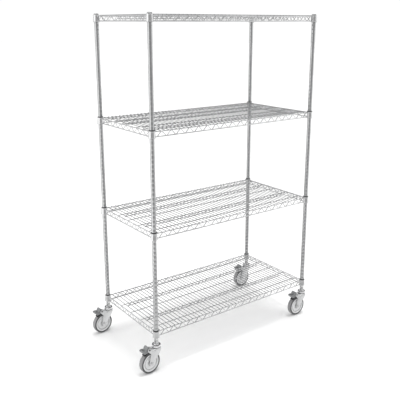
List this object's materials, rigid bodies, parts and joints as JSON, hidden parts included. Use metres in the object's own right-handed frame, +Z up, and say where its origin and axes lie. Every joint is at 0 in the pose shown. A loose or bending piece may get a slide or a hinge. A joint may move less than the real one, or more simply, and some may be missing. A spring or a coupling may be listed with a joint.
{
  "type": "wire shelf cart",
  "caption": "Tall cart of chromed wire shelves clamped to round posts, on swivel casters with foot brakes.",
  "frame": {"origin": "on the floor, under the middle of the whole cart's box, with the casters trailing towards -X", "axes": "+X along the shelves' long side, -Y towards the front, +Z up"},
  "size_m": [1.3088, 0.6302, 1.9744],
  "materials": {
    "post": "bright, grooved",
    "shelf": "bright",
    "cap": "satin",
    "sleeve": "satin",
    "caster_steel": "bright zinc",
    "adapter": "matte",
    "wheel_core": "satin",
    "wheel_tyre": "matte",
    "pedal": "satin",
    "brake_shoe": "satin black"
  },
  "bodies": {
    "frame": {"post_cap_front_left": "cap", "post_cap_front_right": "cap", "post_cap_rear_left": "cap", "post_cap_rear_right": "cap", "post_front_left": "post", "post_front_right": "post", "post_rear_left": "post", "post_rear_right": "post", "shelf_bottom": "shelf", "shelf_lower": "shelf", "shelf_top": "shelf", "shelf_upper": "shelf", "sleeve_bottom_front_left": "sleeve", "sleeve_bottom_front_right": "sleeve", "sleeve_bottom_rear_left": "sleeve", "sleeve_bottom_rear_right": "sleeve", "sleeve_lower_front_left": "sleeve", "sleeve_lower_front_right": "sleeve", "sleeve_lower_rear_left": "sleeve", "sleeve_lower_rear_right": "sleeve", "sleeve_top_front_left": "sleeve", "sleeve_top_front_right": "sleeve", "sleeve_top_rear_left": "sleeve", "sleeve_top_rear_right": "sleeve", "sleeve_upper_front_left": "sleeve", "sleeve_upper_front_right": "sleeve", "sleeve_upper_rear_left": "sleeve", "sleeve_upper_rear_right": "sleeve", "caster_front_left_stem": "caster_steel", "caster_front_left_adapter": "adapter", "caster_front_right_stem": "caster_steel", "caster_front_right_adapter": "adapter", "caster_rear_left_stem": "caster_steel", "caster_rear_left_adapter": "adapter", "caster_rear_right_stem": "caster_steel", "caster_rear_right_adapter": "adapter"},
    "front_left_swivel": {"caster_front_left_fork": "caster_steel", "caster_front_left_axle": "caster_steel"},
    "front_left_wheel": {"caster_front_left_core": "wheel_core", "caster_front_left_tyre": "wheel_tyre"},
    "front_left_pedal": {"caster_front_left_pedal": "pedal"},
    "front_left_shoe": {"caster_front_left_brake_shoe": "brake_shoe"},
    "front_right_swivel": {"caster_front_right_fork": "caster_steel", "caster_front_right_axle": "caster_steel"},
    "front_right_wheel": {"caster_front_right_core": "wheel_core", "caster_front_right_tyre": "wheel_tyre"},
    "front_right_pedal": {"caster_front_right_pedal": "pedal"},
    "front_right_shoe": {"caster_front_right_brake_shoe": "brake_shoe"},
    "rear_left_swivel": {"caster_rear_left_fork": "caster_steel", "caster_rear_left_axle": "caster_steel"},
    "rear_left_wheel": {"caster_rear_left_core": "wheel_core", "caster_rear_left_tyre": "wheel_tyre"},
    "rear_left_pedal": {"caster_rear_left_pedal": "pedal"},
    "rear_left_shoe": {"caster_rear_left_brake_shoe": "brake_shoe"},
    "rear_right_swivel": {"caster_rear_right_fork": "caster_steel", "caster_rear_right_axle": "caster_steel"},
    "rear_right_wheel": {"caster_rear_right_core": "wheel_core", "caster_rear_right_tyre": "wheel_tyre"},
    "rear_right_pedal": {"caster_rear_right_pedal": "pedal"},
    "rear_right_shoe": {"caster_rear_right_brake_shoe": "brake_shoe"}
  },
  "joints": [
    {"name": "front_left_swivel_turn", "type": "hinge", "parent": "frame", "child": "front_left_swivel", "pos_m": [-0.54098, -0.28395, 0.146], "axis": [0, 0, 1], "continuous": true},
    {"name": "front_left_wheel_roll", "type": "hinge", "parent": "front_left_swivel", "child": "front_left_wheel", "pos_m": [-0.59029, -0.28827, 0.0635], "axis": [-0.0872, 0.9962, 0], "continuous": true},
    {"name": "front_left_pedal_press", "type": "hinge", "parent": "front_left_swivel", "child": "front_left_pedal", "pos_m": [-0.60274, -0.28935, 0.15], "axis": [0.0872, -0.9962, 0], "range_deg": [0, 12]},
    {"name": "front_left_shoe_press", "type": "hinge", "parent": "front_left_swivel", "child": "front_left_shoe", "pos_m": [-0.5629, -0.28587, 0.133], "axis": [0.0872, -0.9962, 0], "range_deg": [0, 2.4]},
    {"name": "front_right_swivel_turn", "type": "hinge", "parent": "frame", "child": "front_right_swivel", "pos_m": [0.62742, -0.28395, 0.146], "axis": [0, 0, 1], "continuous": true},
    {"name": "front_right_wheel_roll", "type": "hinge", "parent": "front_right_swivel", "child": "front_right_wheel", "pos_m": [0.57792, -0.28395, 0.0635], "axis": [0, 1, 0], "continuous": true},
    {"name": "front_right_pedal_press", "type": "hinge", "parent": "front_right_swivel", "child": "front_right_pedal", "pos_m": [0.56542, -0.28395, 0.15], "axis": [0, -1, 0], "range_deg": [0, 12]},
    {"name": "front_right_shoe_press", "type": "hinge", "parent": "front_right_swivel", "child": "front_right_shoe", "pos_m": [0.60542, -0.28395, 0.133], "axis": [0, -1, 0], "range_deg": [0, 2.4]},
    {"name": "rear_left_swivel_turn", "type": "hinge", "parent": "frame", "child": "rear_left_swivel", "pos_m": [-0.54098, 0.28755, 0.146], "axis": [0, 0, 1], "continuous": true},
    {"name": "rear_left_wheel_roll", "type": "hinge", "parent": "rear_left_swivel", "child": "rear_left_wheel", "pos_m": [-0.59029, 0.28323, 0.0635], "axis": [-0.0872, 0.9962, 0], "continuous": true},
    {"name": "rear_left_pedal_press", "type": "hinge", "parent": "rear_left_swivel", "child": "rear_left_pedal", "pos_m": [-0.60274, 0.28214, 0.15], "axis": [0.0872, -0.9962, 0], "range_deg": [0, 12]},
    {"name": "rear_left_shoe_press", "type": "hinge", "parent": "rear_left_swivel", "child": "rear_left_shoe", "pos_m": [-0.5629, 0.28563, 0.133], "axis": [0.0872, -0.9962, 0], "range_deg": [0, 2.4]},
    {"name": "rear_right_swivel_turn", "type": "hinge", "parent": "frame", "child": "rear_right_swivel", "pos_m": [0.62742, 0.28755, 0.146], "axis": [0, 0, 1], "continuous": true},
    {"name": "rear_right_wheel_roll", "type": "hinge", "parent": "rear_right_swivel", "child": "rear_right_wheel", "pos_m": [0.57792, 0.28755, 0.0635], "axis": [0, 1, 0], "continuous": true},
    {"name": "rear_right_pedal_press", "type": "hinge", "parent": "rear_right_swivel", "child": "rear_right_pedal", "pos_m": [0.56542, 0.28755, 0.15], "axis": [0, -1, 0], "range_deg": [0, 12]},
    {"name": "rear_right_shoe_press", "type": "hinge", "parent": "rear_right_swivel", "child": "rear_right_shoe", "pos_m": [0.60542, 0.28755, 0.133], "axis": [0, -1, 0], "range_deg": [0, 2.4]}
  ],
  "couplings": [
    {"joint": "front_left_shoe_press", "follows": "front_left_pedal_press", "ratio": 0.2},
    {"joint": "front_right_shoe_press", "follows": "front_right_pedal_press", "ratio": 0.2},
    {"joint": "rear_left_shoe_press", "follows": "rear_left_pedal_press", "ratio": 0.2},
    {"joint": "rear_right_shoe_press", "follows": "rear_right_pedal_press", "ratio": 0.2}
  ]
}
